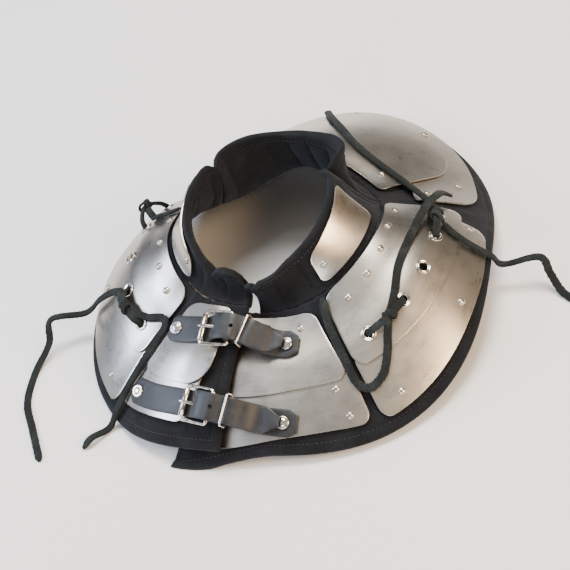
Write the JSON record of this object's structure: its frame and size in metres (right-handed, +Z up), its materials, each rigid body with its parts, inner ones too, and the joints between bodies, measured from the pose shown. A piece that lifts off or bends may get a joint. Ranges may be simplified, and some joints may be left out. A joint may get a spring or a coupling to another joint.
{
  "type": "gorget",
  "caption": "Steel plate gorget over a quilted black cotton yoke and standing collar, with buckled straps at the back and knotted suede laces through eyelets on both shoulders.",
  "frame": {"origin": "centre of the bottom of the bounding box, on the surface that the hem rests on", "axes": "+Z up along the neck, +Y towards the wearer's front, +X towards the wearer's right shoulder; the buckles are at -Y"},
  "size_m": [0.5554, 0.445, 0.1387],
  "materials": {
    "satin_steel": "fine satin-brushed steel sheet",
    "nickel": "bright nickel-plated steel",
    "quilted_cotton": "matt black quilted cotton canvas",
    "strap_leather": "smooth black leather with a low sheen",
    "suede_lace": "matt charcoal suede with rough edges"
  },
  "bodies": {
    "root": {"back_plate_lower_left": "satin_steel", "back_plate_lower_right": "satin_steel", "back_plate_upper_left": "satin_steel", "back_plate_upper_right": "satin_steel", "buckle_lower_frame": "nickel", "buckle_lower_prong": "nickel", "buckle_lower_roller": "nickel", "buckle_upper_frame": "nickel", "buckle_upper_prong": "nickel", "buckle_upper_roller": "nickel", "collar_plate_left": "satin_steel", "collar_plate_right": "satin_steel", "eyelet_left_1": "nickel", "eyelet_left_2": "nickel", "eyelet_left_3": "nickel", "eyelet_left_4": "nickel", "eyelet_left_5": "nickel", "eyelet_right_1": "nickel", "eyelet_right_2": "nickel", "eyelet_right_3": "nickel", "eyelet_right_4": "nickel", "eyelet_right_5": "nickel", "front_plate_lower": "satin_steel", "front_plate_upper": "satin_steel", "keeper_lower": "nickel", "keeper_upper": "nickel", "lace_back_left_end_1": "suede_lace", "lace_back_left_end_2": "suede_lace", "lace_back_left_knot": "suede_lace", "lace_back_right_end_1": "suede_lace", "lace_back_right_end_2": "suede_lace", "lace_back_right_knot": "suede_lace", "lace_front_left_end_1": "suede_lace", "lace_front_left_knot": "suede_lace", "lace_front_right_end_1": "suede_lace", "lace_front_right_end_2": "suede_lace", "lace_front_right_knot": "suede_lace", "liner_collar_front": "quilted_cotton", "liner_collar_left": "quilted_cotton", "liner_collar_right": "quilted_cotton", "liner_mantle": "quilted_cotton", "shoulder_plate_lower_left": "satin_steel", "shoulder_plate_lower_right": "satin_steel", "shoulder_plate_upper_left": "satin_steel", "shoulder_plate_upper_right": "satin_steel", "strap_lower_buckle": "strap_leather", "strap_lower_long": "strap_leather", "strap_rivet_lower_left": "nickel", "strap_rivet_lower_right": "nickel", "strap_rivet_upper_left": "nickel", "strap_rivet_upper_right": "nickel", "strap_upper_buckle": "strap_leather", "strap_upper_long": "strap_leather"}
  },
  "joints": []
}
